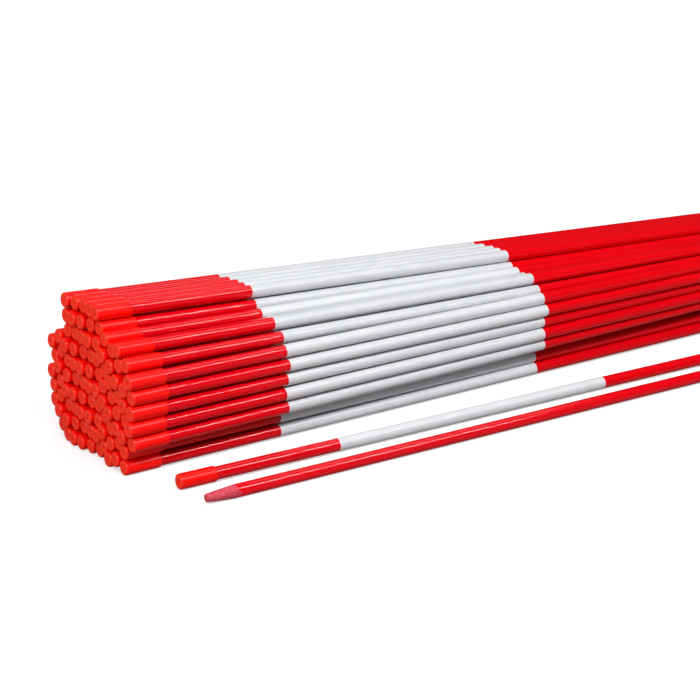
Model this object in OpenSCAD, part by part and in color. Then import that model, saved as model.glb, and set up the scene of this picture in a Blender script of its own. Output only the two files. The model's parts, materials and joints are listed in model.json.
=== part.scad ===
// Pack of driveway snow markers: a strapped bundle of round fibreglass stakes with two loose ones lying beside it.
// Each marker is a plain rod with a ground point, a wrapped reflective sleeve and a push-on vinyl cap.
// Millimetres. X runs along the markers with the capped ends of the bundle towards -X, Z is up, the floor is Z = 0.

/* [Rod] */
// Diameter of the fibreglass rod
rod_d = 8; // [6:0.5:12]
// Full length of a marker, cap included
marker_length = 1220; // [900:10:1500]
// Length of the ground point
point_length = 19; // [8:1:40]
// Diameter of the blunt tip of the point
tip_d = 5; // [2:0.5:7]

/* [Cap] */
// Outside diameter of the vinyl cap
cap_d = 9.6; // [8.6:0.1:14]
// Length of the cap
cap_length = 24; // [12:1:50]
// Thickness of the cap's closed end
cap_end = 1.6; // [0.8:0.1:4]
// Radius on the rim of the closed end
cap_round = 1.4; // [0.4:0.1:2.4]
// Radial play between the cap and the rod
cap_play = 0.02; // [0.01:0.01:0.1]

/* [Reflective sleeve] */
// Distance from the capped end to the sleeve
sleeve_start = 110; // [60:1:200]
// Length of the sleeve
sleeve_length = 216; // [100:1:300]
// Thickness of the sleeve
sleeve_thickness = 0.15; // [0.1:0.05:0.2]

/* [Bundle] */
// Distance between neighbouring markers in one column, at the caps
row_pitch = 9.8; // [9.8:0.1:10]
// Sideways lean of a column per millimetre of height
lean = -0.1; // [-0.2:0.01:0.2]
// Height of one row where the strap pulls the rods together
tight_row = 7; // [6.95:0.05:7.6]
// Distance between neighbours in such a row
tight_column = 8.08; // [8.08:0.02:8.6]
// Distance from the capped ends to the front strap
strap_x = 600; // [600:10:700]
// Distance from the capped ends to the rear strap
rear_strap_x = 1110; // [900:10:1150]
// Largest step of a marker out of line with its neighbours, along the rods
end_scatter = 1.5; // [0:0.1:4]

/* [Straps] */
// Width of the strapping band
strap_width = 12.7; // [9:0.1:19]
// Thickness of the strapping band
strap_thickness = 0.75; // [0.4:0.05:0.77]
// Length of the crimped steel seal
seal_length = 20; // [15:1:24]
// Thickness of the seal's sheet
seal_sheet = 0.8; // [0.5:0.1:1]

/* [Loose markers] */
// How far the nearer loose marker lies from the middle of the bundle, at its capped end
loose_a_y = -79; // [-100:1:-70]
// Angle of that marker to the bundle
loose_a_turn = -2.3; // [-4:0.1:0]
// How far the outer loose marker lies from the middle of the bundle, at its point
loose_b_y = -109; // [-140:1:-100]
// Angle of that marker to the bundle
loose_b_turn = -2.1; // [-4:0.1:0]
// How far both start behind the capped ends of the bundle
loose_x = 11; // [0:1:40]

/* [Part shown] */
// Name of the part to show, or all

/* [Hidden] */
$fn = 64;
rod_r = rod_d / 2;
cap_r = cap_d / 2;
bore_r = rod_r + cap_play;
sleeve_r = rod_r + sleeve_thickness + cap_play;
// The frame's origin is under the middle of the whole pack.
mid_x = 612.4;
mid_y = -49.57;
rod_length = marker_length - cap_end;
rod_red = [0.86, 0.03, 0.06];
cap_red = [0.98, 0.12, 0.04];
sleeve_white = [0.88, 0.88, 0.9];
strap_black = [0.06, 0.06, 0.07];
seal_grey = [0.6, 0.61, 0.63];

// One row for each column of the bundle, from the far side to the near side:
// number of markers, sideways place, height of the lowest axis, shift of the capped ends along the rods,
// extra height of the topmost marker, row of the lowest one at the strap, and the marker from which on
// a row is left empty there (0 for none).
columns = [
    [5, 52.4, 23.5, 0, 0, 2, 0],
    [7, 43.4, 8.8, 0, 0, 0, 0],
    [10, 34, 4.8, 0, 0, 0, 0],
    [10, 24.1, 4.8, 0, 0, 0, 0],
    [10, 14.2, 4.8, 0, 0, 0, 0],
    [10, 4.3, 4.8, 0, 0, 0, 0],
    [10, -5.6, 4.8, 0, 0, 0, 0],
    [8, -14.6, 9.7, -1, 0, 0, 1],
    [8, -23.6, 4.8, -1.5, 0, 0, 2],
    [8, -32.8, 7.4, -2, 0, 0, 2],
    [7, -42.5, 4.8, -3, 5, 0, 2],
    [5, -52.2, 22, -4, 0, 3, 0]
];

// Place of one axis across the bundle at the caps: [y, z].
function axis_at_caps(c, k) =
    let (col = columns[c],
         z = col[2] + row_pitch * k + (k == col[0] - 1 ? col[4] : 0))
    [col[1] + lean * (z - 45), z];

// The same axis where the rods have been pulled together into level rows, each shifted half a place against the next.
function row_at_strap(c, k) = columns[c][5] + k + (columns[c][6] > 0 && k >= columns[c][6] ? 1 : 0);
function axis_at_strap(c, k) =
    let (row = row_at_strap(c, k))
    [tight_column * ((len(columns) - 1) / 2 - c + (row % 2 - 0.5) / 2), cap_r + tight_row * row];

// How far one marker's capped end stands from the common plane.
function end_shift(c, k) = columns[c][3] + end_scatter * sin(137 * k + 71 * c + 30);

// The slanted front half of one marker, as turns about Z and Y.
function run_vec(c, k) =
    let (a = axis_at_caps(c, k), b = axis_at_strap(c, k))
    [strap_x, b[0] - a[0], b[1] - a[1]];
function yaw_of(v) = atan2(v[1], v[0]);
function dip_of(v) = -atan2(v[2], norm([v[0], v[1]]));

// All axes at the strap, and the outline that a tight band takes around them.
strap_points = [for (c = [0:len(columns) - 1]) for (k = [0:columns[c][0] - 1]) axis_at_strap(c, k)];
function turn_of(o, a, b) = (a[0] - o[0]) * (b[1] - o[1]) - (a[1] - o[1]) * (b[0] - o[0]);
function is_next(o, a, b) =
    let (t = turn_of(o, a, b))
    t < -0.01 || (abs(t) <= 0.01 && norm(b - o) > norm(a - o));
function next_of(o, i = 0, best = undef) =
    i == len(strap_points) ? best :
    let (p = strap_points[i])
    next_of(o, i + 1, norm(p - o) < 0.01 ? best : best == undef ? p : is_next(o, best, p) ? p : best);
function wrap(first, at) =
    let (n = next_of(at))
    norm(n - first) < 0.01 ? [at] : concat([at], wrap(first, n));
first_point = [for (p = strap_points) if (p[0] == min([for (q = strap_points) if (q[1] < cap_r + 0.01) q[0]]) && p[1] < cap_r + 0.01) p][0];
outline = wrap(first_point, first_point);
function edge_angle(i) =
    let (n = len(outline), a = outline[i % n], b = outline[(i + 1) % n])
    atan2(b[1] - a[1], b[0] - a[0]);
function loop_points(r) =
    let (n = len(outline))
    [for (i = [0:n - 1])
        let (from = edge_angle(i + n - 1) - 90,
             swing = (edge_angle(i) - 90 - from + 720) % 360,
             parts = max(1, ceil(swing / 12)),
             step = swing / parts)
        for (j = [0:parts - 1])
            let (at = from + (j + 0.5) * step, d = r / cos(step / 2))
            outline[i] + d * [cos(at), sin(at)]];

// The seal sits on the outline between the tops of two columns, where the band bridges a gap.
seal_from = axis_at_strap(6, 9);
seal_to = axis_at_strap(9, 7);
seal_turn = atan2(seal_from[1] - seal_to[1], seal_from[0] - seal_to[0]);
seal_mid = (seal_from + seal_to) / 2;
band_in = rod_r + 0.03;
band_out = band_in + strap_thickness;

// Moves a piece drawn from the capped end along +X to its place in the bundle.
module in_bundle(c, k) {
    a = axis_at_caps(c, k);
    v = run_vec(c, k);
    translate([-mid_x, a[0] - mid_y, a[1]])
        rotate([0, dip_of(v), yaw_of(v)])
            translate([end_shift(c, k), 0, 0]) children();
}

// A straight round bar along +X.
module bar(r, length) {
    rotate([0, 90, 0]) cylinder(r = r, h = length);
}

// The pointed end of a rod, drawn backwards from its tip at X = 0.
module pointed_bar(length) {
    rotate([0, -90, 0]) rotate_extrude()
        polygon([[0, 0], [tip_d / 2, 0], [rod_r, point_length], [rod_r, length], [0, length]]);
}

// One bundled rod: slanted from the cap to the front strap, then level. Its bend lies under the strap.
// Both runs are drawn about the plane that halves the bend, as mirror images, and are cut off at that plane.
module bundled_rod(c, k) {
    b = axis_at_strap(c, k);
    v = run_vec(c, k);
    bend = acos(v[0] / norm(v));
    start = end_shift(c, k) + cap_end;
    last = marker_length + end_shift(c, k);
    translate([strap_x - mid_x, b[0] - mid_y, b[1]]) rotate([atan2(v[2], v[1]), 0, 0]) rotate([0, 0, bend / 2]) {
        mirror([1, 0, 0]) half_space() rotate([0, 0, -bend / 2]) translate([-10, 0, 0]) bar(rod_r, norm(v) - start + 10);
        half_space() rotate([0, 0, -bend / 2]) translate([last - strap_x, 0, 0]) pointed_bar(last - strap_x + 10);
    }
}

// Keeps what lies on the +X side.
module half_space() {
    difference() {
        children();
        translate([-40, -20, -20]) cube([40, 40, 40]);
    }
}

// A vinyl cap from X = 0, closed there and open at the other end.
module one_cap() {
    rotate([0, 90, 0]) rotate_extrude() difference() {
        union() {
            square([cap_r - cap_round, cap_length]);
            translate([0, cap_round]) square([cap_r, cap_length - cap_round]);
            translate([cap_r - cap_round, cap_round]) circle(r = cap_round);
        }
        translate([-1, cap_end]) square([bore_r + 1, cap_length]);
        translate([-1, -1]) square([1.8, 1.35]);
        translate([-20, -5]) square([20, cap_length + 10]);
    }
}

// A reflective sleeve in its place on a marker that starts at X = 0.
module one_sleeve() {
    translate([sleeve_start, 0, 0]) rotate([0, 90, 0]) difference() {
        cylinder(r = sleeve_r, h = sleeve_length);
        translate([0, 0, -1]) cylinder(r = bore_r, h = sleeve_length + 2);
    }
}

// A straight loose rod from X = 0, with its point at X = marker_length.
module one_rod() {
    translate([marker_length, 0, 0]) pointed_bar(rod_length);
}

// Lays a loose marker on the floor: it rests on its cap at one end and on the rod at the other.
module lay(y, turn, flip) {
    far = marker_length - point_length;
    drop = asin((cap_r - rod_r) / (far - cap_length));
    translate([loose_x - mid_x, y - mid_y, 0]) rotate([0, 0, turn])
        if (flip) translate([marker_length, 0, cap_r + cap_length * sin(drop) + 0.01]) rotate([0, 0, 180]) rotate([0, drop, 0]) children();
        else translate([0, 0, cap_r + cap_length * sin(drop) + 0.01]) rotate([0, drop, 0]) children();
}

module rods(c) { color(rod_red) for (k = [0:columns[c][0] - 1]) bundled_rod(c, k); }
module sleeves(c) { color(sleeve_white) for (k = [0:columns[c][0] - 1]) in_bundle(c, k) one_sleeve(); }
module caps(c) { color(cap_red) for (k = [0:columns[c][0] - 1]) in_bundle(c, k) one_cap(); }

// A band pulled tight around the rods, with its overlapping end lying on it under the seal.
module strap(x) {
    color(strap_black) translate([x - mid_x, -mid_y, 0]) {
        rotate([90, 0, 90]) linear_extrude(height = strap_width) difference() {
            polygon(loop_points(band_out));
            polygon(loop_points(band_in));
        }
        translate([0, seal_mid[0], seal_mid[1]]) rotate([seal_turn, 0, 0])
            translate([0, -13, band_out - 0.1]) cube([strap_width, 25, strap_thickness + 0.1]);
    }
}

// A folded steel seal around both layers of the band, notched where it is crimped.
module seal(x) {
    w = strap_width + 0.2;
    h = 2 * strap_thickness + 0.1;
    color(seal_grey) translate([x - mid_x + strap_width / 2, seal_mid[0] - mid_y, seal_mid[1]]) rotate([seal_turn, 0, 0])
        translate([0, 0, band_in - 0.05]) difference() {
            translate([-w / 2 - seal_sheet, -seal_length / 2, -seal_sheet]) cube([w + 2 * seal_sheet, seal_length, h + 2 * seal_sheet]);
            translate([-w / 2, -seal_length / 2 - 1, 0]) cube([w, seal_length + 2, h]);
            translate([-1, -seal_length / 2 - 1, -seal_sheet - 1]) cube([2, seal_length + 2, seal_sheet + 1.5]);
            for (s = [-1, 1], y = [-seal_length / 4, seal_length / 4])
                translate([s * (w / 2 + seal_sheet + 0.6), y, -seal_sheet - 1]) cylinder(r = 1.6, h = h + 2 * seal_sheet + 2, $fn = 48);
        }
}

module rods_column_01() { rods(0); }
module rods_column_02() { rods(1); }
module rods_column_03() { rods(2); }
module rods_column_04() { rods(3); }
module rods_column_05() { rods(4); }
module rods_column_06() { rods(5); }
module rods_column_07() { rods(6); }
module rods_column_08() { rods(7); }
module rods_column_09() { rods(8); }
module rods_column_10() { rods(9); }
module rods_column_11() { rods(10); }
module rods_column_12() { rods(11); }
module sleeves_column_01() { sleeves(0); }
module sleeves_column_02() { sleeves(1); }
module sleeves_column_03() { sleeves(2); }
module sleeves_column_04() { sleeves(3); }
module sleeves_column_05() { sleeves(4); }
module sleeves_column_06() { sleeves(5); }
module sleeves_column_07() { sleeves(6); }
module sleeves_column_08() { sleeves(7); }
module sleeves_column_09() { sleeves(8); }
module sleeves_column_10() { sleeves(9); }
module sleeves_column_11() { sleeves(10); }
module sleeves_column_12() { sleeves(11); }
module caps_column_01() { caps(0); }
module caps_column_02() { caps(1); }
module caps_column_03() { caps(2); }
module caps_column_04() { caps(3); }
module caps_column_05() { caps(4); }
module caps_column_06() { caps(5); }
module caps_column_07() { caps(6); }
module caps_column_08() { caps(7); }
module caps_column_09() { caps(8); }
module caps_column_10() { caps(9); }
module caps_column_11() { caps(10); }
module caps_column_12() { caps(11); }
module front_strap() { strap(strap_x); }
module front_strap_seal() { seal(strap_x); }
module rear_strap() { strap(rear_strap_x); }
module rear_strap_seal() { seal(rear_strap_x); }
module loose_a_rod() { color(rod_red) lay(loose_a_y, loose_a_turn, false) one_rod(); }
module loose_a_sleeve() { color(sleeve_white) lay(loose_a_y, loose_a_turn, false) one_sleeve(); }
module loose_a_cap() { color(cap_red) lay(loose_a_y, loose_a_turn, false) one_cap(); }
module loose_b_rod() { color(rod_red) lay(loose_b_y, loose_b_turn, true) one_rod(); }
module loose_b_sleeve() { color(sleeve_white) lay(loose_b_y, loose_b_turn, true) one_sleeve(); }
module loose_b_cap() { color(cap_red) lay(loose_b_y, loose_b_turn, true) one_cap(); }

rods_column_01();
rods_column_02();
rods_column_03();
rods_column_04();
rods_column_05();
rods_column_06();
rods_column_07();
rods_column_08();
rods_column_09();
rods_column_10();
rods_column_11();
rods_column_12();
sleeves_column_01();
sleeves_column_02();
sleeves_column_03();
sleeves_column_04();
sleeves_column_05();
sleeves_column_06();
sleeves_column_07();
sleeves_column_08();
sleeves_column_09();
sleeves_column_10();
sleeves_column_11();
sleeves_column_12();
caps_column_01();
caps_column_02();
caps_column_03();
caps_column_04();
caps_column_05();
caps_column_06();
caps_column_07();
caps_column_08();
caps_column_09();
caps_column_10();
caps_column_11();
caps_column_12();
front_strap();
front_strap_seal();
rear_strap();
rear_strap_seal();
loose_a_rod();
loose_a_sleeve();
loose_a_cap();
loose_b_rod();
loose_b_sleeve();
loose_b_cap();
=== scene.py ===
import bpy
import json
import math
import numpy as np
from mathutils import Matrix, Vector

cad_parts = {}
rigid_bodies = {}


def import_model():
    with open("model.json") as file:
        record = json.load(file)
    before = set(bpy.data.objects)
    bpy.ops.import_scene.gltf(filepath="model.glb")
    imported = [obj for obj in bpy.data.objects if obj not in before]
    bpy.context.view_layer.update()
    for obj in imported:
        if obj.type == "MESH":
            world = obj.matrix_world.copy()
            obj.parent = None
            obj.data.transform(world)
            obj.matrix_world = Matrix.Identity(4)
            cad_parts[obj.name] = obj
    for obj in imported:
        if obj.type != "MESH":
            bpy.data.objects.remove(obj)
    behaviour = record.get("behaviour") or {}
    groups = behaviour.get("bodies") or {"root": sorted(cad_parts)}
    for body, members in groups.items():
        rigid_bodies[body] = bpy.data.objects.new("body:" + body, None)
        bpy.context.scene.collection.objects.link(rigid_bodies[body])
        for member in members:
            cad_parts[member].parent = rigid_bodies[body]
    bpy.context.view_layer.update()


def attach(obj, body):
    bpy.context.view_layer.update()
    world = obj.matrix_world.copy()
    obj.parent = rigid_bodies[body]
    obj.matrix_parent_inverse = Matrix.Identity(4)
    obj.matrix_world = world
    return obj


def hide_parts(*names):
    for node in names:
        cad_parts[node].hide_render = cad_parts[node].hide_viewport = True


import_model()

# ---------------------------------------------------------------- sizes, in millimetres, as in the design
MID = np.array([612.4, -49.57, 0.0])
ROD, CAP, LENGTH = 4.0, 4.8, 1220.0
CAP_LEN, CAP_END = 24.0, 1.6
POINT, TIP = 19.0, 2.5
SLEEVE0, SLEEVE_LEN, SLEEVE = 110.0, 216.0, 4.17
STRAP_X, REAR_X, STRAP_W, STRAP_T = 600.0, 1110.0, 12.7, 0.75
PITCH, LEAN, SCATTER = 9.8, -0.1, 1.5
TIGHT_ROW, TIGHT_COLUMN = 7.0, 8.08
# count, sideways place, lowest height, shift along the rods, extra height of the topmost, row at the strap, row left empty
COLUMNS = [
    (5, 52.4, 23.5, 0, 0, 2, 0), (7, 43.4, 8.8, 0, 0, 0, 0), (10, 34, 4.8, 0, 0, 0, 0), (10, 24.1, 4.8, 0, 0, 0, 0),
    (10, 14.2, 4.8, 0, 0, 0, 0), (10, 4.3, 4.8, 0, 0, 0, 0), (10, -5.6, 4.8, 0, 0, 0, 0), (8, -14.6, 9.7, -1, 0, 0, 1),
    (8, -23.6, 4.8, -1.5, 0, 0, 2), (8, -32.8, 7.4, -2, 0, 0, 2), (7, -42.5, 4.8, -3, 5, 0, 2), (5, -52.2, 22, -4, 0, 3, 0)]
LOOSE = {"a": (-79.0, -2.3, False), "b": (-109.0, -2.1, True)}
LOOSE_X = 11.0


def at_caps(c, k):
    n, y, z0, _, up, _, _ = COLUMNS[c]
    z = z0 + PITCH * k + (up if k == n - 1 else 0)
    return y + LEAN * (z - 45), z


def at_strap(c, k):
    col = COLUMNS[c]
    row = col[5] + k + (1 if col[6] > 0 and k >= col[6] else 0)
    return TIGHT_COLUMN * ((len(COLUMNS) - 1) / 2 - c + (row % 2 - 0.5) / 2), CAP + TIGHT_ROW * row


def end_shift(c, k):
    return COLUMNS[c][3] + SCATTER * math.sin(math.radians(137 * k + 71 * c + 30))


def rand(*key):
    """A number from 0 to 1 that depends only on the key."""
    x = math.sin(sum((i + 1) * 12.9898 * (v + 0.37) for i, v in enumerate(key))) * 43758.5453
    return x - math.floor(x)


def basis(d):
    d = d / np.linalg.norm(d)
    y = np.array([0.0, 1.0, 0.0]) - d[1] * d
    y /= np.linalg.norm(y)
    return d, y, np.cross(d, y)


# ---------------------------------------------------------------- mesh building
class Build:
    """Collects rings of points into one mesh, in millimetres."""

    def __init__(self):
        self.v, self.f, self.m, self.tone, self.kind, self.n = [], [], [], [], [], 0
        self.sharp = []

    def add(self, pts, tone=0.5, kind=0.0):
        pts = np.asarray(pts, float)
        i = self.n
        self.v.append(pts)
        self.tone.append(np.full(len(pts), tone))
        self.kind.append(np.full(len(pts), kind))
        self.n += len(pts)
        return np.arange(i, self.n)

    def band(self, a, b, mat=0, closed=True):
        n = len(a)
        j = np.arange(n if closed else n - 1)
        k = (j + 1) % n
        self.f.append(np.stack([a[j], a[k], b[k], b[j]], 1))
        self.m.append(np.full(len(j), mat))

    def disc(self, ring, centre, mat=0, flip=False, tone=0.5, kind=0.0):
        c = self.add([centre], tone, kind)[0]
        n = len(ring)
        k = np.roll(ring, -1)
        cc = np.full(n, c)
        tri = np.stack([ring, cc, k, k], 1) if flip else np.stack([ring, k, cc, cc], 1)
        self.f.append(tri)
        self.m.append(np.full(n, mat))

    def finish(self, name, mats, body, nodes, slot, smooth_angle=35):
        v = (np.concatenate(self.v) - MID) * 0.001
        f = np.concatenate(self.f)
        m = np.concatenate(self.m)
        faces = [tuple(q) if q[2] != q[3] else tuple(q[:3]) for q in f.tolist()]
        me = bpy.data.meshes.new(name)
        me.from_pydata([tuple(p) for p in v.tolist()], [], faces)
        for mat in mats:
            me.materials.append(mat)
        me.polygons.foreach_set("material_index", m.astype(np.int32))
        for key, val in (("tone", self.tone), ("kind", self.kind)):
            at = me.attributes.new(key, "FLOAT", "POINT")
            at.data.foreach_set("value", np.concatenate(val).astype(np.float32))
        me.update()
        me.validate()
        me.shade_smooth()
        me.set_sharp_from_angle(angle=math.radians(smooth_angle))
        ob = bpy.data.objects.new(name, me)
        bpy.context.scene.collection.objects.link(ob)
        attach(ob, body)
        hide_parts(*nodes)
        return ob


def circle(centre, ey, ez, r, n, phase=0.0):
    a = np.arange(n) * 2 * math.pi / n + phase
    r = np.broadcast_to(np.asarray(r, float), (n,))
    return centre + r[:, None] * (np.cos(a)[:, None] * ey + np.sin(a)[:, None] * ez)


def lathe(b, origin, d, ey, ez, profile, n, tone, face_light_weights=None, phase=0.0, mat=0, wobble=None, close=False):
    """Turns a profile of (distance along d, radius) pairs, in order so that the surface faces outward. Radius 0 closes it."""
    rings, prev = [], None
    first = None
    for i, (x, r) in enumerate(profile):
        kind = face_light_weights[i] if face_light_weights else 0.0
        if r <= 0:
            if prev is None:
                start_centre = (origin + x * d, kind)
                prev = "centre"
            else:
                b.disc(prev, origin + x * d, mat, False, tone, kind)
                prev = None
            continue
        rr = r if wobble is None else wobble(x, r, np.arange(n) * 2 * math.pi / n + phase)
        ring = b.add(circle(origin + x * d, ey, ez, rr, n, phase), tone, kind)
        if isinstance(prev, str):
            b.disc(ring, start_centre[0], mat, True, tone, start_centre[1])
        elif prev is not None:
            b.band(prev, ring, mat)
        else:
            first = ring
        prev = ring
        rings.append(ring)
    if close and first is not None:
        b.band(prev, first, mat)
    return rings


# ---------------------------------------------------------------- one rod, one sleeve, one cap
SEG = 40


def point_rings(b, end, d, ey, ez, tone, key, last_ring):
    """The ground point that ends at `end`, joined to the rod's last ring. Its edge is uneven, as a belt grinder leaves it."""
    a = np.arange(SEG) * 2 * math.pi / SEG
    q = 2 * math.pi * rand(key, 3)
    edge = -POINT + 1.1 * np.cos(a - q) + 0.95 * np.cos(3 * a + 2 * q) + 0.5 * np.cos(7 * a + q)
    c, s = np.cos(a)[:, None] * ey, np.sin(a)[:, None] * ez
    ring = b.add(end + edge[:, None] * d + ROD * (c + s), tone, 0.0)
    b.band(last_ring, ring, 0)
    prev = b.add(end + (edge + 0.05)[:, None] * d + (ROD - 0.03) * (c + s), tone, 1.0)
    b.band(ring, prev, 1)
    steps = 9
    for i in range(1, steps + 1):
        t = i / steps
        x = (edge + 0.05) * (1 - t) + (-0.45) * t
        r = (ROD - 0.03) * (1 - t) + TIP * t + 0.10 * math.sin(math.pi * t)
        facet = 0.045 * np.cos(11 * a + 5 * t + q) * math.sin(math.pi * t)
        nxt = b.add(end + np.asarray(x)[:, None] * d + (r + facet)[:, None] * (c + s), tone, 1.0)
        b.band(prev, nxt, 1)
        prev = nxt
    for x, r in ((-0.2, TIP - 0.12), (-0.04, TIP - 0.42), (0.0, TIP - 0.8)):
        nxt = b.add(end + x * d + r * (c + s), tone, 1.0)
        b.band(prev, nxt, 1)
        prev = nxt
    b.disc(prev, end - 0.05 * d, 1, False, tone, 1.0)


def straight_rod(b, o, d, tone, key):
    d, ey, ez = basis(d)
    prof = [(CAP_END, 0), (CAP_END, ROD - 0.3), (CAP_END + 0.3, ROD)] + [(x, ROD) for x in (24, 60, 110, 218, 326, 430, 600, 760, 900, 1060, 1190)]
    rings = lathe(b, o, d, ey, ez, prof, SEG, tone)
    point_rings(b, o + LENGTH * d, d, ey, ez, tone, key, rings[-1])


def bundle_axis(c, k):
    (y0, z0), (y1, z1) = at_caps(c, k), at_strap(c, k)
    a, e = np.array([0.0, y0, z0]), np.array([STRAP_X, y1, z1])
    v = e - a
    d = v / np.linalg.norm(v)
    return a + end_shift(c, k) * d, e, d


def bent_rod(b, c, k, tone):
    tip, bend, d = bundle_axis(c, k)
    _, ey, ez = basis(d)
    prof = [(CAP_END, 0), (CAP_END, ROD - 0.3), (CAP_END + 0.3, ROD)] + [(x, ROD) for x in (24, 60, 110, 218, 326, 400, 480, 560)]
    rings = lathe(b, tip, d, ey, ez, prof, SEG, tone)
    x = np.array([1.0, 0.0, 0.0])
    n = (d + x) / np.linalg.norm(d + x)
    ring = circle(np.zeros(3), ey, ez, ROD, SEG)
    ring = ring - ((ring @ n) / (d @ n))[:, None] * d
    prev = b.add(bend + ring, tone)
    b.band(rings[-1], prev, 0)
    ey2, ez2 = np.array([0.0, 1.0, 0.0]), np.array([0.0, 0.0, 1.0])
    end_x = LENGTH + end_shift(c, k)
    for px in (640, 760, 900, 1060, 1190):
        nxt = b.add(circle(np.array([px, bend[1], bend[2]]), ey2, ez2, ROD, SEG), tone)
        b.band(prev, nxt, 0)
        prev = nxt
    point_rings(b, np.array([end_x, bend[1], bend[2]]), x, ey2, ez2, tone, 13 * c + k, prev)


def sleeve_rings(b, o, d, tone, key):
    """A wrapped reflective sleeve: a thin tube with the step of its overlapping edge along it."""
    d, ey, ez = basis(d)
    seam = 2 * math.pi * rand(key, 7)
    lap = 0.42
    ang = [seam, seam + 0.012, seam + lap, seam + lap + 0.03]
    rad = [SLEEVE - 0.055, SLEEVE, SLEEVE, SLEEVE - 0.055]
    n = 34
    for i in range(1, n):
        ang.append(seam + lap + 0.03 + (2 * math.pi - lap - 0.03) * i / n)
        rad.append(SLEEVE - 0.055)
    ang, rad = np.array(ang), np.array(rad)
    c, s = np.cos(ang)[:, None] * ey, np.sin(ang)[:, None] * ez
    skew = 0.35 * (rand(key, 9) - 0.5)
    prof = [(0, -0.13), (0.0, -0.05), (0.06, 0), (12, 0), (60, 0), (108, 0), (156, 0), (204, 0), (SLEEVE_LEN - 0.06, 0), (SLEEVE_LEN, -0.05), (SLEEVE_LEN, -0.13)]
    prev = None
    for x, dr in prof:
        rr = rad + dr if dr > -0.1 else np.full(len(rad), ROD + 0.012)
        off = skew * np.cos(ang - seam) * (1 if x < 100 else -1)
        ring = b.add(o + (SLEEVE0 + x + off)[:, None] * d + rr[:, None] * (c + s), tone, 0.0)
        if prev is not None:
            b.band(prev, ring, 0)
        prev = ring
    inner = b.add(o + (SLEEVE0 + SLEEVE_LEN)* d + (ROD + 0.012) * (c + s), tone, 0.0)
    return inner


def cap_profile(key):
    """A dip-moulded vinyl cap: domed rim, shallow dimple, soft lip at the open end, hollow inside."""
    dip = 0.22 + 0.2 * rand(key, 1)
    fat = 0.03 * rand(key, 2)
    nub = 0.30 + 0.25 * rand(key, 10)
    # each ring's weight of the lighter end-face colour, which is painted light: full near the outer rim as a painted
    # highlight, a little less further in, middling on the nub, lowest in the dimple's bottom as painted shade, fading
    # to none over the rounded edge; the sides and inside get none
    pts, face_light_weights = [(dip - 0.16, 0)], [0.75]
    for x, r in ((dip - 0.16, nub), (dip - 0.02, nub + 0.14), (dip + 0.12, nub + 0.3), (dip - 0.02, nub + 0.6), (0.12, 1.6), (0.13, 2.15), (0.02, 2.5), (0.0, 2.95), (0.0, 3.25)):
        pts.append((x, r)); face_light_weights.append({0: 0.55, 1: 0.15, 2: 0.05, 3: 0.55}.get(len(pts) - 2, 0.85 if r < 2.4 else 1.0))
    rr = 1.35
    for i in range(1, 8):
        a = i / 7 * math.pi / 2
        pts.append((rr - rr * math.cos(a), CAP - rr - 0.02 + rr * math.sin(a) - 0.03)); face_light_weights.append(1.0 - i / 7 * 1.0 if i > 2 else 1.0)
    for x, r in ((4, CAP - 0.03), (9, CAP - 0.05 + fat), (14, CAP - 0.04 + fat), (19, CAP - 0.02), (22.6, CAP), (23.5, CAP - 0.03), (23.86, CAP - 0.14), (24.0, CAP - 0.3), (23.98, ROD + 0.22), (23.8, ROD + 0.08)):
        pts.append((x, r)); face_light_weights.append(0.0)
    for x, r in ((22.5, ROD + 0.02), (12, ROD + 0.02), (2.0, ROD + 0.02), (CAP_END, ROD - 0.4)):
        pts.append((x, r)); face_light_weights.append(0.0)
    pts.append((CAP_END, 0)); face_light_weights.append(0.0)
    return pts, face_light_weights


def one_cap(b, o, d, tone, key):
    d, ey, ez = basis(d)
    pts, face_light_weights = cap_profile(key)
    p1, p2, p3 = (2 * math.pi * rand(key, i) for i in (4, 5, 6))
    amp = 0.018 + 0.02 * rand(key, 8)

    def wobble(x, r, a):
        if r < CAP - 0.5 or x < 0.8:
            return r
        return r - amp * (1 + np.cos(2 * a + p1 + 0.1 * x)) / 2 - 0.006 * (1 + np.cos(5 * a + p2 + 0.35 * x)) - 0.006 * (1 + np.cos(3 * a + p3))

    lathe(b, o, d, ey, ez, pts, 36, tone, face_light_weights, wobble=wobble)


# ---------------------------------------------------------------- materials
def material(name):
    m = bpy.data.materials.new(name)
    m.use_nodes = True
    nt = m.node_tree
    p = nt.nodes["Principled BSDF"]
    return m, nt, p


def node(nt, kind, **kw):
    n = nt.nodes.new(kind)
    for k, v in kw.items():
        setattr(n, k, v)
    return n


def coords(nt, scale):
    tc = node(nt, "ShaderNodeTexCoord")
    mp = node(nt, "ShaderNodeMapping")
    mp.inputs["Scale"].default_value = scale
    nt.links.new(tc.outputs["Object"], mp.inputs["Vector"])
    return mp.outputs["Vector"]


def noise(nt, scale, detail=3.0, rough=0.5, size=1.0):
    t = node(nt, "ShaderNodeTexNoise")
    t.inputs["Scale"].default_value = size
    t.inputs["Detail"].default_value = detail
    t.inputs["Roughness"].default_value = rough
    nt.links.new(coords(nt, scale), t.inputs["Vector"])
    return t.outputs["Fac"]


def ramp(nt, fac, stops):
    r = node(nt, "ShaderNodeValToRGB")
    while len(r.color_ramp.elements) < len(stops):
        r.color_ramp.elements.new(0.5)
    for e, (pos, col) in zip(r.color_ramp.elements, stops):
        e.position = pos
        e.color = (*col, 1) if len(col) == 3 else col
    nt.links.new(fac, r.inputs["Fac"])
    return r.outputs["Color"]


def mix(nt, fac, a, b, mode="MIX"):
    x = node(nt, "ShaderNodeMix", data_type="RGBA", blend_type=mode)
    for sock, val in ((x.inputs[0], fac), (x.inputs[6], a), (x.inputs[7], b)):
        if hasattr(val, "is_output"):
            nt.links.new(val, sock)
        elif isinstance(val, tuple):
            sock.default_value = (*val, 1)
        else:
            sock.default_value = val
    return x.outputs[2]


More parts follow.
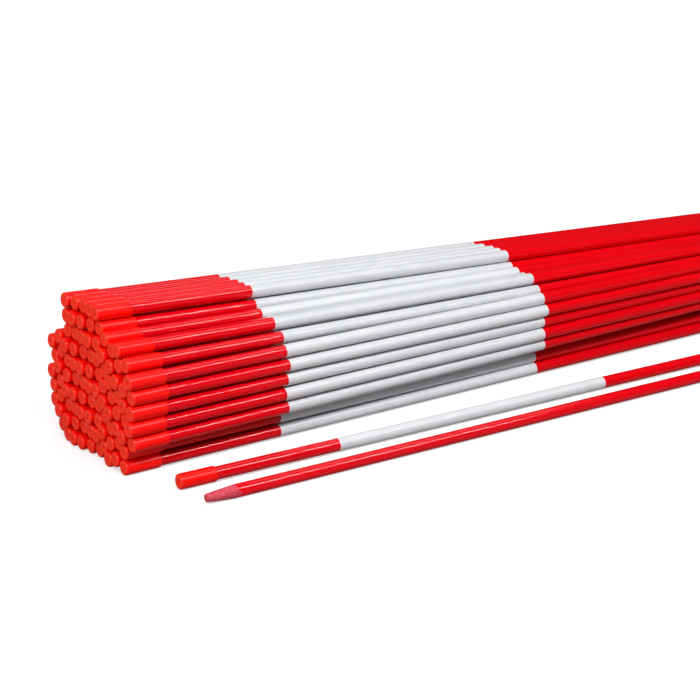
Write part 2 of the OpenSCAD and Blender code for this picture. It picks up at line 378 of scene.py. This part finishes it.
def math_node(nt, op, a, b):
    x = node(nt, "ShaderNodeMath", operation=op)
    for sock, val in ((x.inputs[0], a), (x.inputs[1], b)):
        if hasattr(val, "is_output"):
            nt.links.new(val, sock)
        else:
            sock.default_value = val
    return x.outputs[0]


def attribute(nt, name):
    return node(nt, "ShaderNodeAttribute", attribute_name=name).outputs["Fac"]


def map_range(nt, val, lo, hi, a=0.0, b=1.0):
    x = node(nt, "ShaderNodeMapRange")
    nt.links.new(val, x.inputs["Value"])
    for k, v in (("From Min", a), ("From Max", b), ("To Min", lo), ("To Max", hi)):
        x.inputs[k].default_value = v
    return x.outputs["Result"]


def bump(nt, p, height, strength, distance):
    bn = node(nt, "ShaderNodeBump")
    bn.inputs["Strength"].default_value = strength
    bn.inputs["Distance"].default_value = distance
    nt.links.new(height, bn.inputs["Height"])
    nt.links.new(bn.outputs["Normal"], p.inputs["Normal"])


def make_rod():
    m, nt, p = material("rod_gloss_red")
    fibre = noise(nt, (30, 4200, 4200), 4.0, 0.6)          # long fine glass-fibre grain
    mottle = noise(nt, (18, 60, 60), 2.0, 0.5)             # slow change of the pigment along a rod
    base = ramp(nt, fibre, [(0.25, (0.660, 0.0002, 0.0030)), (0.75, (0.780, 0.0004, 0.0060))])
    base = mix(nt, math_node(nt, "MULTIPLY", mottle, 0.6), base, (0.50, 0.0004, 0.0060))
    base = mix(nt, map_range(nt, attribute(nt, "tone"), 0.0, 0.30), base, (0.82, 0.0010, 0.0050))
    scuff = noise(nt, (300, 420, 420), 5.0, 0.7)           # small dull handling marks
    mark = map_range(nt, scuff, 0.0, 1.0, 0.62, 0.72)
    base = mix(nt, math_node(nt, "MULTIPLY", mark, 0.10), base, (0.80, 0.03, 0.04))
    nt.links.new(base, p.inputs["Base Color"])
    rough = math_node(nt, "ADD", map_range(nt, fibre, 0.08, 0.12), math_node(nt, "MULTIPLY", mark, 0.25))
    nt.links.new(rough, p.inputs["Roughness"])
    p.inputs["IOR"].default_value = 1.5
    p.inputs["Specular IOR Level"].default_value = 0.42
    p.inputs["Coat Weight"].default_value = 0.10
    p.inputs["Coat Roughness"].default_value = 0.10
    bump(nt, p, fibre, 0.10, 0.00002)
    return m


def make_ground():
    m, nt, p = material("rod_ground_point")
    grit = noise(nt, (900, 900, 900), 6.0, 0.8)
    lines = noise(nt, (160, 2600, 900), 3.0, 0.6)
    col = ramp(nt, grit, [(0.34, (0.42, 0.018, 0.040)), (0.52, (0.60, 0.042, 0.078)), (0.70, (0.82, 0.20, 0.25))])
    col = mix(nt, math_node(nt, "MULTIPLY", lines, 0.3), col, (0.46, 0.020, 0.045))
    nt.links.new(col, p.inputs["Base Color"])
    nt.links.new(map_range(nt, grit, 0.55, 0.85), p.inputs["Roughness"])
    bump(nt, p, math_node(nt, "ADD", grit, math_node(nt, "MULTIPLY", lines, 0.8)), 0.7, 0.00018)
    return m


def make_cap():
    m, nt, p = material("cap_vinyl")
    soft = noise(nt, (160, 160, 160), 3.0, 0.5)
    fine = noise(nt, (900, 900, 900), 5.0, 0.65)
    base = ramp(nt, soft, [(0.3, (0.80, 0.0008, 0.0002)), (0.7, (0.93, 0.0022, 0.0004))])
    base = mix(nt, map_range(nt, attribute(nt, "tone"), 0.0, 0.5), base, (0.97, 0.0040, 0.0006))
    # painted light: the end faces get a lighter, more orange red than the sides, as if lit more strongly, weighted per
    # ring by the cap profile; random speckle and dark marks are mixed over it
    lit_face_mask = attribute(nt, "kind")
    speck = map_range(nt, fine, 0.0, 1.0, 0.60, 0.70)
    tip = mix(nt, math_node(nt, "MULTIPLY", speck, 0.55), (0.93, 0.034, 0.008), (0.98, 0.13, 0.045))
    dark = map_range(nt, noise(nt, (420, 420, 420), 4.0, 0.6), 0.0, 1.0, 0.57, 0.68)
    tip = mix(nt, math_node(nt, "MULTIPLY", dark, 0.5), tip, (0.62, 0.006, 0.002))
    base = mix(nt, math_node(nt, "MULTIPLY", lit_face_mask, 0.92), base, tip)
    nt.links.new(base, p.inputs["Base Color"])
    nt.links.new(map_range(nt, fine, 0.24, 0.42), p.inputs["Roughness"])
    p.inputs["IOR"].default_value = 1.48
    p.inputs["Specular IOR Level"].default_value = 0.30
    h = math_node(nt, "ADD", math_node(nt, "MULTIPLY", soft, 1.0), math_node(nt, "MULTIPLY", fine, 0.5))
    bump(nt, p, h, 0.45, 0.00016)
    return m


def make_sleeve():
    m, nt, p = material("sleeve_reflective")
    cells = node(nt, "ShaderNodeTexVoronoi", feature="DISTANCE_TO_EDGE")
    cells.inputs["Scale"].default_value = 1.0
    cells.inputs["Randomness"].default_value = 0.12
    nt.links.new(coords(nt, (620, 620, 620)), cells.inputs["Vector"])
    edge = map_range(nt, cells.outputs["Distance"], 1.0, 0.0, 0.02, 0.10)
    dust = noise(nt, (60, 220, 220), 4.0, 0.6)
    base = ramp(nt, dust, [(0.3, (0.53, 0.545, 0.57)), (0.7, (0.62, 0.63, 0.655))])
    base = mix(nt, map_range(nt, attribute(nt, "tone"), 0.0, 0.35), base, (0.80, 0.81, 0.83))
    base = mix(nt, math_node(nt, "MULTIPLY", edge, 0.16), base, (0.50, 0.51, 0.54))
    smudge = map_range(nt, noise(nt, (40, 500, 500), 5.0, 0.7), 0.0, 1.0, 0.62, 0.75)
    base = mix(nt, math_node(nt, "MULTIPLY", smudge, 0.2), base, (0.42, 0.36, 0.37))
    nt.links.new(base, p.inputs["Base Color"])
    nt.links.new(map_range(nt, dust, 0.30, 0.42), p.inputs["Roughness"])
    p.inputs["Metallic"].default_value = 0.0
    p.inputs["Specular IOR Level"].default_value = 0.5
    p.inputs["Coat Weight"].default_value = 0.2
    p.inputs["Coat Roughness"].default_value = 0.25
    bump(nt, p, math_node(nt, "SUBTRACT", dust, math_node(nt, "MULTIPLY", edge, 0.5)), 0.3, 0.00005)
    return m


def make_strap():
    m, nt, p = material("strap_polypropylene")
    # crossed ribs pressed into the band, in row-frame units
    vec = coords(nt, (1, 1, 1))
    sep = node(nt, "ShaderNodeSeparateXYZ")
    nt.links.new(vec, sep.inputs[0])
    run = math_node(nt, "ADD", sep.outputs["Y"], sep.outputs["Z"])
    waves = []
    for s in (1.0, -1.0):
        u = math_node(nt, "ADD", math_node(nt, "MULTIPLY", sep.outputs["X"], 2400.0), math_node(nt, "MULTIPLY", run, 2400.0 * s))
        waves.append(math_node(nt, "ABSOLUTE", math_node(nt, "SINE", u, 0.0), 0.0))
    rib = math_node(nt, "MINIMUM", waves[0], waves[1])
    grain = noise(nt, (500, 500, 500), 4.0, 0.6)
    # the band's colour is darker along the pressed grooves of the ribs: painted shade
    base = ramp(nt, rib, [(0.0, (0.010, 0.010, 0.012)), (0.6, (0.030, 0.030, 0.034))])
    base = mix(nt, math_node(nt, "MULTIPLY", grain, 0.3), base, (0.055, 0.055, 0.06))
    nt.links.new(base, p.inputs["Base Color"])
    nt.links.new(map_range(nt, grain, 0.38, 0.55), p.inputs["Roughness"])
    bump(nt, p, rib, 0.8, 0.00015)
    return m


def make_seal():
    m, nt, p = material("seal_zinc_steel")
    brushed = noise(nt, (60, 900, 900), 4.0, 0.65)
    spangle = node(nt, "ShaderNodeTexVoronoi")
    spangle.inputs["Scale"].default_value = 1.0
    nt.links.new(coords(nt, (520, 520, 520)), spangle.inputs["Vector"])
    base = ramp(nt, brushed, [(0.2, (0.58, 0.59, 0.61)), (0.8, (0.78, 0.79, 0.81))])
    base = mix(nt, math_node(nt, "MULTIPLY", spangle.outputs["Distance"], 0.5), base, (0.70, 0.71, 0.73))
    nt.links.new(base, p.inputs["Base Color"])
    p.inputs["Metallic"].default_value = 1.0
    nt.links.new(map_range(nt, brushed, 0.34, 0.52), p.inputs["Roughness"])
    bump(nt, p, brushed, 0.3, 0.00006)
    return m


ROD_M, GROUND_M, CAP_M, SLEEVE_M, STRAP_M, SEAL_M = make_rod(), make_ground(), make_cap(), make_sleeve(), make_strap(), make_seal()

# ---------------------------------------------------------------- the bundle
for c, col in enumerate(COLUMNS):
    rods, sleeves, caps = Build(), Build(), Build()
    for k in range(col[0]):
        tip, bend, d = bundle_axis(c, k)
        key = 13 * c + k
        bent_rod(rods, c, k, rand(key, 11))
        sleeve_rings(sleeves, tip, d, rand(key, 12), key)
        one_cap(caps, tip, d, rand(key, 13), key)
    tag = "column_%02d" % (c + 1)
    rods.finish("rods_shape_" + tag[-2:], [ROD_M, GROUND_M], "bundle", ["rods_" + tag], "rod_red")
    sleeves.finish("sleeves_shape_" + tag[-2:], [SLEEVE_M], "bundle", ["sleeves_" + tag], "sleeve_white", 20)
    caps.finish("caps_shape_" + tag[-2:], [CAP_M], "bundle", ["caps_" + tag], "cap_red", 50)

# ---------------------------------------------------------------- the loose markers
drop = math.asin((CAP - ROD) / (LENGTH - POINT - CAP_LEN))
for name, (y, turn, flip) in LOOSE.items():
    t = math.radians(turn)
    z = CAP + CAP_LEN * math.sin(drop) + 0.01
    u = np.array([math.cos(t), math.sin(t), 0.0])
    if flip:
        o = np.array([LOOSE_X, y, z]) + LENGTH * u
        d = np.array([-u[0] * math.cos(drop), -u[1] * math.cos(drop), -math.sin(drop)])
    else:
        o = np.array([LOOSE_X, y, z])
        d = np.array([u[0] * math.cos(drop), u[1] * math.cos(drop), -math.sin(drop)])
    key = 900 + ord(name)
    rod, sleeve, cap = Build(), Build(), Build()
    straight_rod(rod, o, d, 0.5, key)
    sleeve_rings(sleeve, o, d, 0.6, key)
    one_cap(cap, o, d, 0.5, key)
    rod.finish("loose_%s_rod_shape" % name, [ROD_M, GROUND_M], "loose_marker_" + name, ["loose_%s_rod" % name], "rod_red")
    sleeve.finish("loose_%s_sleeve_shape" % name, [SLEEVE_M], "loose_marker_" + name, ["loose_%s_sleeve" % name], "sleeve_white", 20)
    cap.finish("loose_%s_cap_shape" % name, [CAP_M], "loose_cap_" + name, ["loose_%s_cap" % name], "cap_red", 50)


# ---------------------------------------------------------------- straps and seals
def hull(points):
    pts = sorted(points)

    def half(ps):
        out = []
        for p in ps:
            while len(out) > 1 and (out[-1][0] - out[-2][0]) * (p[1] - out[-2][1]) - (out[-1][1] - out[-2][1]) * (p[0] - out[-2][0]) <= 1e-6:
                out.pop()
            out.append(p)
        return out

    lo, up = half(pts), half(pts[::-1])
    return [np.array(p) for p in lo[:-1] + up[:-1]]     # anticlockwise


outline = hull([at_strap(c, k) for c in range(len(COLUMNS)) for k in range(COLUMNS[c][0])])


def band_path(step=6.0):
    """Corner, outward direction pairs all round the outline."""
    out, n = [], len(outline)
    for i in range(n):
        a, p, q = outline[i - 1], outline[i], outline[(i + 1) % n]
        f = math.atan2(*(p - a)[::-1]) - math.pi / 2
        g = math.atan2(*(q - p)[::-1]) - math.pi / 2
        swing = (g - f) % (2 * math.pi)
        parts = max(2, int(math.degrees(swing) / step) + 1)
        for j in range(parts + 1):
            w = f + swing * j / parts
            out.append((p, np.array([math.cos(w), math.sin(w)])))
        # a few stations along the flat run, which stays straight between rods
        w = np.array([math.cos(g), math.sin(g)])
        run = np.linalg.norm(q - p)
        for j in range(1, int(run // 6) + 1):
            out.append((p + (q - p) * j / (int(run // 6) + 1), w))
    return out


def strap(b, x0):
    inner, outer = ROD + 0.03, ROD + 0.03 + STRAP_T
    e = 0.16
    prof = [(e, inner), (0, inner + e), (0, outer - e), (e * 0.4, outer - e * 0.3), (e, outer), (STRAP_W / 2, outer), (STRAP_W - e, outer), (STRAP_W - e * 0.4, outer - e * 0.3),
            (STRAP_W, outer - e), (STRAP_W, inner + e), (STRAP_W - e, inner)]
    path = band_path()
    first = prev = None
    for p, w in path:
        pts = [[x0 + dx, p[0] + r * w[0], p[1] + r * w[1]] for dx, r in prof]
        ring = b.add(pts)
        if prev is not None:
            b.band(prev, ring, 0)
        else:
            first = ring
        prev = ring
    b.band(prev, first, 0)


SEAL_FROM, SEAL_TO = np.array(at_strap(6, 9)), np.array(at_strap(9, 7))
along = (SEAL_FROM - SEAL_TO) / np.linalg.norm(SEAL_FROM - SEAL_TO)
up = np.array([-along[1], along[0]])
if up[1] < 0:
    up = -up
seal_mid = (SEAL_FROM + SEAL_TO) / 2


def seal_place(x0, a, w, h):
    """a along the band, w across it from its middle, h above the line through the rod axes."""
    p = seal_mid + a * along + h * up
    return [x0 + STRAP_W / 2 + w, p[0], p[1]]


def tail(b, x0):
    """The free end of the band, lying flat on it under the seal."""
    base = ROD + 0.03 + STRAP_T - 0.02
    e = 0.14
    hw = STRAP_W / 2
    prev = None
    stations = [(-13.0, 0), (-12.9, 1), (-12, 1), (-10.6, 1), (-8, 1), (-4, 1), (0, 1), (4, 1), (8, 1), (10.4, 1), (11.4, 1), (11.9, 1), (12.0, 0)]
    for a, full in stations:
        lift = 0.0
        t = STRAP_T - (0 if full else 0.12)
        lo, hi = base + lift, base + lift + t
        prof = [(-hw + e, lo), (-hw, lo + e), (-hw, hi - e), (-hw + e, hi), (0, hi), (hw - e, hi), (hw, hi - e), (hw, lo + e), (hw - e, lo)]
        ring = b.add([seal_place(x0, a, w, h) for w, h in prof])
        if prev is not None:
            b.band(prev, ring, 0)
        else:
            b.disc(ring, seal_place(x0, a, 0, (lo + hi) / 2), 0, True)
        prev = ring
    b.disc(prev, seal_place(x0, 12.0, 0, base + STRAP_T / 2), 0, False)


def seal(b, x0):
    """A sheet-steel seal folded round both layers, its edges meeting underneath, with two crimps pressed into its sides."""
    t, hw, h0 = 0.8, (STRAP_W + 0.2) / 2, ROD + 0.03 - 0.05
    h1 = h0 + 2 * STRAP_T + 0.1
    prev = first = None
    n = 41
    for i in range(n):
        a = -10 + 20 * i / (n - 1)
        pinch = 0.75 * sum(math.exp(-(((a - s) / 1.25) ** 4)) for s in (-5, 5))
        dish = 0.22 * sum(math.exp(-(((a - s) / 1.6) ** 2)) for s in (-5, 5))
        w = hw - pinch
        mid = []                                    # the sheet's middle line, from the fold's one edge to the other
        r = 0.5
        lo, hi = h0 - t / 2, h1 + t / 2 - 0.4 * dish
        for s in (1, -1):
            side = [(s * 1.0, lo), (s * (w * 0.5), lo), (s * (w + t / 2 - r), lo)]
            for j in range(1, 5):
                q = j / 5 * math.pi / 2
                side.append((s * (w + t / 2 - r + r * math.sin(q)), lo + r - r * math.cos(q)))
            side.append((s * (w + t / 2), lo + r))
            side.append((s * (w + t / 2 - 0.25 * pinch), (lo + hi) / 2))
            side.append((s * (w + t / 2), hi - r))
            for j in range(1, 5):
                q = j / 5 * math.pi / 2
                side.append((s * (w + t / 2 - r + r * math.cos(q)), hi - r + r * math.sin(q)))
            side.append((s * (w + t / 2 - r), hi))
            side.append((s * (w * 0.5), hi - dish * 0.3))
            mid.append(side)
        line = mid[0] + [(0.0, hi - dish * 0.4)] + mid[1][::-1]
        line = np.array(line)
        tang = np.gradient(line, axis=0)
        tang /= np.linalg.norm(tang, axis=1)[:, None]
        nrm = np.stack([tang[:, 1], -tang[:, 0]], 1)
        outer = line + nrm * t / 2 * 0.98
        inner = line - nrm * t / 2 * 0.98
        prof = np.concatenate([outer, inner[::-1]])
        ring = b.add([seal_place(x0, a, w_, h_) for w_, h_ in prof])
        if prev is not None:
            b.band(prev, ring, 0)
        else:
            first = ring
        prev = ring
    # the two cut ends of the sheet
    m = len(first) // 2
    for ring, flip in ((first, True), (prev, False)):
        o_, i_ = ring[:m], ring[m:][::-1]
        j = np.arange(m - 1)
        q = np.stack([o_[j], o_[j + 1], i_[j + 1], i_[j]], 1)
        b.f.append(q[:, ::-1] if flip else q)
        b.m.append(np.zeros(m - 1, int))


for name, x0 in (("front", STRAP_X), ("rear", REAR_X)):
    b = Build()
    strap(b, x0)
    tail(b, x0)
    b.finish(name + "_strap_shape", [STRAP_M], "bundle", [name + "_strap"], "strap_black", 40)
    b = Build()
    seal(b, x0)
    b.finish(name + "_seal_shape", [SEAL_M], "bundle", [name + "_strap_seal"], "seal_steel", 40)

# outward faces everywhere
import bmesh
for ob in bpy.data.objects:
    if ob.type == "MESH" and ob.name.endswith(tuple("0123456789")) and "_shape_" in ob.name or ob.name.endswith("_shape"):
        bm = bmesh.new()
        bm.from_mesh(ob.data)
        bmesh.ops.recalc_face_normals(bm, faces=bm.faces)
        bm.to_mesh(ob.data)
        bm.free()

# ---------------------------------------------------------------- floor, light, camera
me = bpy.data.meshes.new("floor")
s = 14.0
me.from_pydata([(-s, -s, 0), (s, -s, 0), (s, s, 0), (-s, s, 0)], [], [(0, 1, 2, 3)])
floor = bpy.data.objects.new("floor", me)
bpy.context.scene.collection.objects.link(floor)
fm, nt, p = material("studio_floor")
paper = noise(nt, (3, 3, 3), 2.0, 0.5)
nt.links.new(ramp(nt, paper, [(0.3, (0.60, 0.60, 0.605)), (0.7, (0.62, 0.62, 0.625))]), p.inputs["Base Color"])
p.inputs["Roughness"].default_value = 0.9
p.inputs["Specular IOR Level"].default_value = 0.05
# painted light: the floor glows though it is no lamp, seen by camera rays only, weakest near the markers so their
# shadows show and rising outward to white
p.inputs["Emission Color"].default_value = (1.0, 0.985, 0.99, 1)
floor_glow_distance = node(nt, "ShaderNodeVectorMath", operation="LENGTH")
nt.links.new(coords(nt, (0.55, 1.0, 1.0)), floor_glow_distance.inputs[0])
nt.links.new(map_range(nt, floor_glow_distance.outputs["Value"], 0.52, 0.92, 0.55, 1.9), p.inputs["Emission Strength"])
shade = node(nt, "ShaderNodeBsdfDiffuse")           # what the gloss reflects of the floor
shade.inputs["Color"].default_value = (0.16, 0.16, 0.16, 1)
path = node(nt, "ShaderNodeLightPath")
both = node(nt, "ShaderNodeMixShader")
nt.links.new(path.outputs["Is Glossy Ray"], both.inputs[0])
nt.links.new(p.outputs[0], both.inputs[1])
nt.links.new(shade.outputs[0], both.inputs[2])
bounce = node(nt, "ShaderNodeBsdfDiffuse")          # what the floor throws back onto the object
bounce.inputs["Color"].default_value = (0.34, 0.34, 0.34, 1)
seen = node(nt, "ShaderNodeMixShader")
nt.links.new(path.outputs["Is Diffuse Ray"], seen.inputs[0])
nt.links.new(both.outputs[0], seen.inputs[1])
nt.links.new(bounce.outputs[0], seen.inputs[2])
nt.links.new(seen.outputs[0], nt.nodes["Material Output"].inputs["Surface"])
me.materials.append(fm)
floor.location.z = -0.0001

world = bpy.data.worlds.new("studio")
bpy.context.scene.world = world
world.use_nodes = True
wn = world.node_tree
bg = wn.nodes["Background"]
bg.inputs["Color"].default_value = (1.0, 1.0, 1.0, 1)
bg.inputs["Strength"].default_value = 0.21
dim = node(wn, "ShaderNodeBackground")              # what the gloss reflects: a darker room round the lit set
dim.inputs["Color"].default_value = (1.0, 1.0, 1.0, 1)
dim.inputs["Strength"].default_value = 0.03
path = node(wn, "ShaderNodeLightPath")
both = node(wn, "ShaderNodeMixShader")
wn.links.new(path.outputs["Is Glossy Ray"], both.inputs[0])
wn.links.new(bg.outputs[0], both.inputs[1])
wn.links.new(dim.outputs[0], both.inputs[2])
sky = node(wn, "ShaderNodeBackground")              # the plain white backdrop
sky.inputs["Color"].default_value = (1.0, 1.0, 1.0, 1)
sky.inputs["Strength"].default_value = 1.0
seen = node(wn, "ShaderNodeMixShader")
wn.links.new(path.outputs["Is Camera Ray"], seen.inputs[0])
wn.links.new(both.outputs[0], seen.inputs[1])
wn.links.new(sky.outputs[0], seen.inputs[2])
wn.links.new(seen.outputs[0], wn.nodes["World Output"].inputs["Surface"])


def area(name, loc, target, size, size_y, power, gloss=1.0, color=(1, 1, 1)):
    L = bpy.data.lights.new(name, "AREA")
    L.shape = "RECTANGLE"
    L.size, L.size_y, L.energy, L.color = size, size_y, power, color
    L.specular_factor = gloss
    o = bpy.data.objects.new(name, L)
    bpy.context.scene.collection.objects.link(o)
    o.location = loc
    o.rotation_euler = (Vector(target) - Vector(loc)).to_track_quat("-Z", "Y").to_euler()
    return o


area("key_strip", (-0.35, -1.35, 1.55), (-0.15, 0, 0.04), 3.2, 0.065, 47)
area("end_fill", (-2.0, -0.45, 0.75), (-0.6, 0, 0.05), 0.5, 0.5, 13, 0.4)
area("top_strip", (0.1, 0.35, 2.0), (0, 0, 0), 2.6, 0.25, 8, 0.0)
area("point_fill", (2.0, -0.6, 0.8), (0.6, 0, 0.05), 0.5, 0.5, 7, 0.0)
area("far_fill", (0.2, 1.9, 0.9), (0, 0, 0.05), 2.2, 0.3, 6, 0.0)

F_PX, PITCH_C, YAW, ROLL = 1670.0, math.radians(16.05), math.radians(36.29), math.radians(-0.74)
CAM = (Vector((-441.9, -864.2, 341.6)) - Vector(MID.tolist())) * 0.001
fw = Vector((math.sin(YAW) * math.cos(PITCH_C), math.cos(YAW) * math.cos(PITCH_C), -math.sin(PITCH_C)))
rt = Vector((math.cos(YAW), -math.sin(YAW), 0))
upv = rt.cross(fw)
r2 = rt * math.cos(ROLL) + upv * math.sin(ROLL)
u2 = -rt * math.sin(ROLL) + upv * math.cos(ROLL)
cam = bpy.data.cameras.new("camera")
cam.sensor_width = 36
cam.lens = F_PX * 36 / 700
cam.clip_start, cam.clip_end = 0.01, 100
cam_ob = bpy.data.objects.new("camera", cam)
bpy.context.scene.collection.objects.link(cam_ob)
cam_ob.matrix_world = Matrix(((r2.x, u2.x, -fw.x, CAM.x), (r2.y, u2.y, -fw.y, CAM.y), (r2.z, u2.z, -fw.z, CAM.z), (0, 0, 0, 1)))
bpy.context.scene.camera = cam_ob
bpy.context.scene.view_settings.view_transform = "Standard"
bpy.context.scene.view_settings.look = "None"
